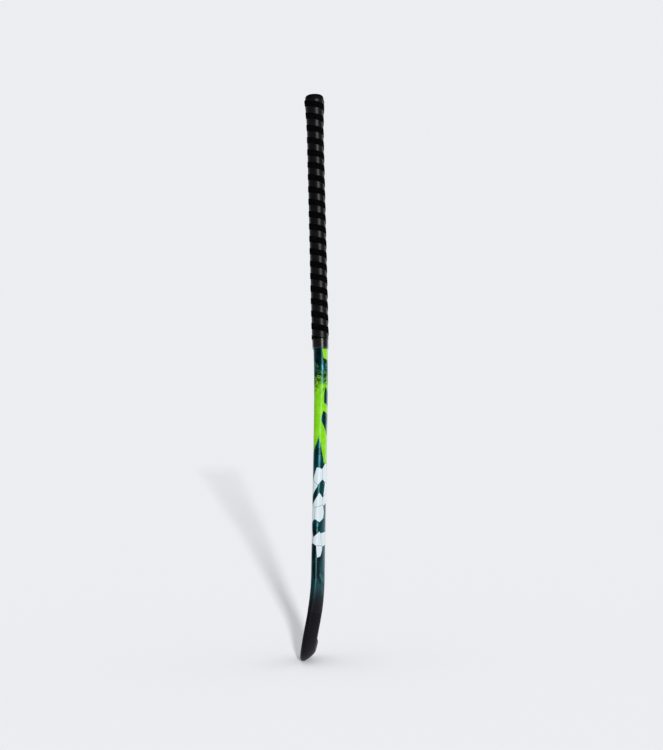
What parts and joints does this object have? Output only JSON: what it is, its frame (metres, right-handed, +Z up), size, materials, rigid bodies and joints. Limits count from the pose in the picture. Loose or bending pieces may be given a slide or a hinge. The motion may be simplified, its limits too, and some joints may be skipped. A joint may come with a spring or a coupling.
{
  "type": "field hockey stick",
  "caption": "Composite field hockey stick with a bowed shaft, a J-shaped head with one flat playing face, and a spirally bound cushioned grip.",
  "frame": {"origin": "middle of the underside of the whole stick's box", "axes": "+Z up along the handle, -X the way the flat playing face looks, +Y towards the toe"},
  "size_m": [0.063, 0.1106, 0.927],
  "materials": {
    "laminate": "satin black composite laminate",
    "printed_film": "glossy lacquered print",
    "fibre_lining": "resin-bound fibre",
    "core_block": "rigid closed-cell core",
    "tube_laminate": "plain laminate",
    "rod_foam": "light foam",
    "roving": "resin-soaked roving",
    "plug": "moulded plug",
    "cushion": "soft foam rubber",
    "build_up": "firm foam rubber",
    "adhesive_tape": "paper-backed tape",
    "grip_smooth": "smooth shiny polyurethane",
    "grip_matt": "matt suede-like polyurethane",
    "collar_tape": "glossy tape",
    "cap_rubber": "moulded rubber"
  },
  "bodies": {
    "root": {"outer_shell": "laminate", "graphic_film": "printed_film", "head_reinforcement": "fibre_lining", "head_core": "core_block", "heel_core_tube": "tube_laminate", "toe_core_tube": "tube_laminate", "heel_foam_rod": "rod_foam", "toe_foam_rod": "rod_foam", "face_gap_filler": "roving", "back_gap_filler": "roving", "butt_plug": "plug", "cushion_underlay": "cushion", "flare_ring": "build_up", "double_sided_tape": "adhesive_tape", "grip_base_strip": "grip_smooth", "grip_raised_band": "grip_matt", "finishing_tape": "collar_tape", "end_cap": "cap_rubber"}
  },
  "joints": []
}
